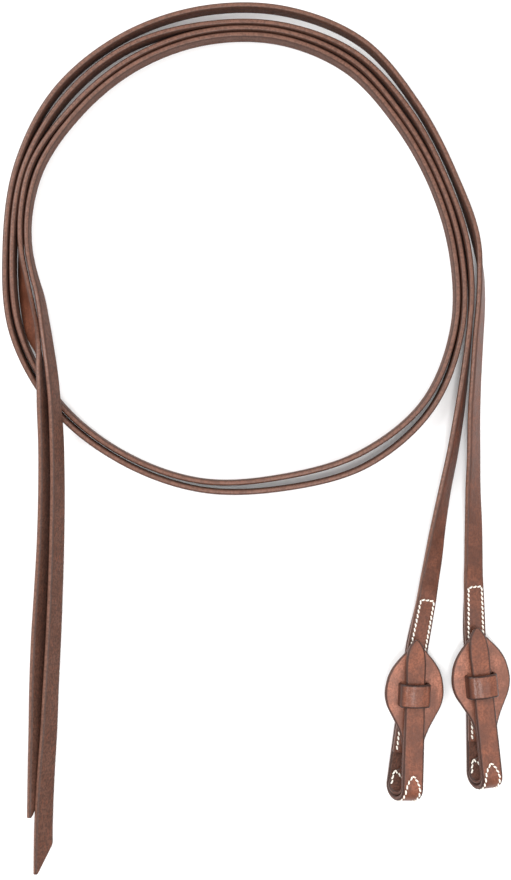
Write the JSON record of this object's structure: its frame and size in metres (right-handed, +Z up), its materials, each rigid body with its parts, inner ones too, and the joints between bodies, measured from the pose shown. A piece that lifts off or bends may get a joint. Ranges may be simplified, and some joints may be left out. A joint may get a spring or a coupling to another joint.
{
  "type": "split reins",
  "caption": "Pair of coiled leather split reins with slant-cut tails and quick-change bit ends.",
  "frame": {"origin": "middle of the outline, on the surface that the coil stands on", "axes": "+Z up out of the coil, +Y from the bit ends and tails towards the coil, +X to the right with the bit ends on the right"},
  "size_m": [0.376, 0.647, 0.0325],
  "materials": {
    "rein_leather": "oiled harness leather, satin, burnished edges",
    "bit_end_leather": "oiled harness leather, satin, lightly mottled",
    "keeper_leather": "oiled leather, satin with a soft highlight",
    "thread": "waxed cream thread, matte"
  },
  "bodies": {
    "coil": {"left_rein_coil": "rein_leather", "left_rein_tail": "rein_leather", "right_rein_coil": "rein_leather", "right_rein_tail": "rein_leather"},
    "left_bit_end": {"left_rein_bit_leg": "rein_leather", "left_loop_billet": "bit_end_leather", "left_slotted_tab": "bit_end_leather", "left_keeper": "keeper_leather", "left_lap_thread": "thread", "left_fold_thread": "thread"},
    "left_tongue_lower_body": {"left_tongue_lower": "bit_end_leather"},
    "left_tongue_middle_body": {"left_tongue_middle": "bit_end_leather"},
    "left_tongue_tip_body": {"left_tongue_tip": "bit_end_leather"},
    "right_bit_end": {"right_rein_bit_leg": "rein_leather", "right_loop_billet": "bit_end_leather", "right_slotted_tab": "bit_end_leather", "right_keeper": "keeper_leather", "right_lap_thread": "thread", "right_fold_thread": "thread"},
    "right_tongue_lower_body": {"right_tongue_lower": "bit_end_leather"},
    "right_tongue_middle_body": {"right_tongue_middle": "bit_end_leather"},
    "right_tongue_tip_body": {"right_tongue_tip": "bit_end_leather"}
  },
  "joints": [
    {"name": "left_bit_end_flex", "type": "hinge", "parent": "coil", "child": "left_bit_end", "pos_m": [0.12839, -0.10048, 0.01138], "axis": [-1, 0, 0], "range_deg": [0, 75]},
    {"name": "left_tongue_draw", "type": "hinge", "parent": "left_bit_end", "child": "left_tongue_lower_body", "pos_m": [0.11467, -0.24313, 0.02052], "axis": [0.9844, -0.0325, -0.1727], "range_deg": [0, 75]},
    {"name": "left_tongue_middle_fold", "type": "hinge", "parent": "left_tongue_lower_body", "child": "left_tongue_middle_body", "pos_m": [0.11468, -0.21978, 0.0162], "axis": [0.9844, -0.0325, -0.1727], "range_deg": [-150, 0]},
    {"name": "left_tongue_tip_fold", "type": "hinge", "parent": "left_tongue_middle_body", "child": "left_tongue_tip_body", "pos_m": [0.116, -0.19662, 0.01937], "axis": [0.9844, -0.0325, -0.1727], "range_deg": [0, 75]},
    {"name": "right_bit_end_flex", "type": "hinge", "parent": "coil", "child": "right_bit_end", "pos_m": [0.16059, -0.09248, 0.01138], "axis": [-1, 0, 0], "range_deg": [0, 75]},
    {"name": "right_tongue_draw", "type": "hinge", "parent": "right_bit_end", "child": "right_tongue_lower_body", "pos_m": [0.17132, -0.23351, 0.02073], "axis": [0.9804, 0.0948, -0.173], "range_deg": [0, 75]},
    {"name": "right_tongue_middle_fold", "type": "hinge", "parent": "right_tongue_lower_body", "child": "right_tongue_middle_body", "pos_m": [0.16844, -0.21161, 0.01637], "axis": [0.9804, 0.0948, -0.173], "range_deg": [-150, 0]},
    {"name": "right_tongue_tip_fold", "type": "hinge", "parent": "right_tongue_middle_body", "child": "right_tongue_tip_body", "pos_m": [0.16687, -0.18971, 0.0195], "axis": [0.9804, 0.0948, -0.173], "range_deg": [0, 75]}
  ],
  "couplings": [
    {"joint": "left_tongue_middle_fold", "follows": "left_tongue_draw", "ratio": -2},
    {"joint": "left_tongue_tip_fold", "follows": "left_tongue_draw", "ratio": 1},
    {"joint": "right_tongue_middle_fold", "follows": "right_tongue_draw", "ratio": -2},
    {"joint": "right_tongue_tip_fold", "follows": "right_tongue_draw", "ratio": 1}
  ]
}
